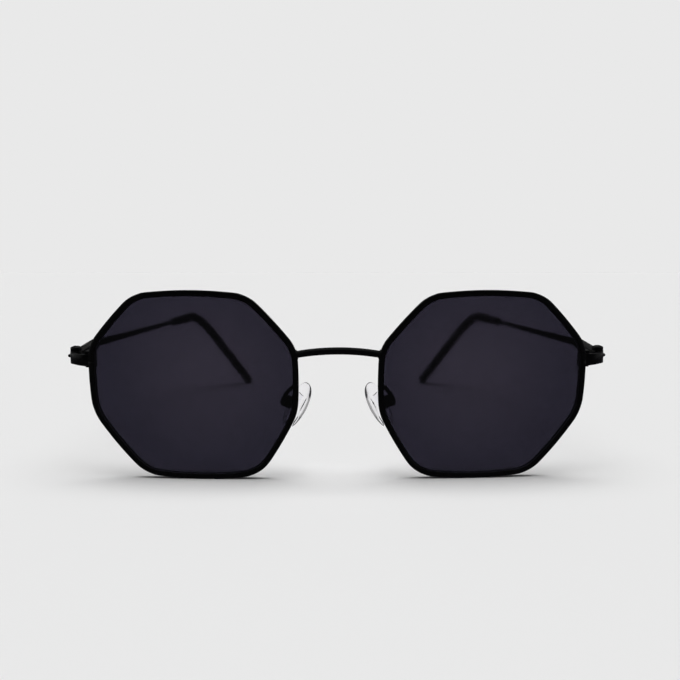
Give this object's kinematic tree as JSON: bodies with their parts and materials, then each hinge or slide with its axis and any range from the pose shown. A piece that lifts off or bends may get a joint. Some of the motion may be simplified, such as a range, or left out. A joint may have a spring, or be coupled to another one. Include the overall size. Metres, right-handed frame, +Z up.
{
  "type": "octagonal sunglasses",
  "caption": "Octagonal metal-framed sunglasses with tinted lenses, an arched bridge, clear nose pads on arms and slim folding temples with bent plastic tips.",
  "frame": {"origin": "on the table that the open sunglasses stand on, below the middle of their width and depth", "axes": "+Z up; +X to the right as seen from in front; +Y from the lenses back along the temples"},
  "size_m": [0.143, 0.145, 0.0486],
  "materials": {
    "black_lacquer": "black satin lacquer over metal, with a soft sheen",
    "tinted_lens": "polished plastic lens with a dark violet-grey tint",
    "tip_plastic": "black plastic sleeve, softly shiny",
    "pad_silicone": "clear silicone",
    "pad_core": "clear firm plastic core",
    "screw_steel": "dark steel, fine turned"
  },
  "bodies": {
    "front": {"bridge": "black_lacquer", "left_rim": "black_lacquer", "right_rim": "black_lacquer", "left_lens": "tinted_lens", "right_lens": "tinted_lens", "left_end_piece": "black_lacquer", "right_end_piece": "black_lacquer", "left_rim_lock_upper": "black_lacquer", "right_rim_lock_upper": "black_lacquer", "left_rim_lock_lower": "black_lacquer", "right_rim_lock_lower": "black_lacquer", "left_rim_lock_screw": "screw_steel", "right_rim_lock_screw": "screw_steel", "left_hinge_screw": "black_lacquer", "right_hinge_screw": "black_lacquer", "left_pad_arm": "black_lacquer", "right_pad_arm": "black_lacquer", "left_pad_box": "black_lacquer", "right_pad_box": "black_lacquer", "left_pad_screw": "screw_steel", "right_pad_screw": "screw_steel"},
    "left_temple": {"left_temple_fitting": "black_lacquer", "left_temple_peg": "black_lacquer", "left_temple_wire": "black_lacquer", "left_temple_tip": "tip_plastic"},
    "left_pad": {"left_pad_core": "pad_core", "left_nose_pad": "pad_silicone"},
    "right_temple": {"right_temple_fitting": "black_lacquer", "right_temple_peg": "black_lacquer", "right_temple_wire": "black_lacquer", "right_temple_tip": "tip_plastic"},
    "right_pad": {"right_pad_core": "pad_core", "right_nose_pad": "pad_silicone"}
  },
  "joints": [
    {"name": "right_temple_fold", "type": "hinge", "parent": "front", "child": "right_temple", "pos_m": [0.06805, -0.06113, 0.03108], "axis": [0, 0, 1], "range_deg": [0, 56]},
    {"name": "left_temple_fold", "type": "hinge", "parent": "front", "child": "left_temple", "pos_m": [-0.06805, -0.06113, 0.03108], "axis": [0, 0, -1], "range_deg": [0, 80]},
    {"name": "right_pad_rock", "type": "hinge", "parent": "front", "child": "right_pad", "pos_m": [0.013, -0.06341, 0.0197], "axis": [0.4183, 0.8829, 0.2131], "range_deg": [-8, 8]},
    {"name": "left_pad_rock", "type": "hinge", "parent": "front", "child": "left_pad", "pos_m": [-0.013, -0.06341, 0.0197], "axis": [-0.4183, 0.8829, 0.2131], "range_deg": [-8, 8]}
  ]
}
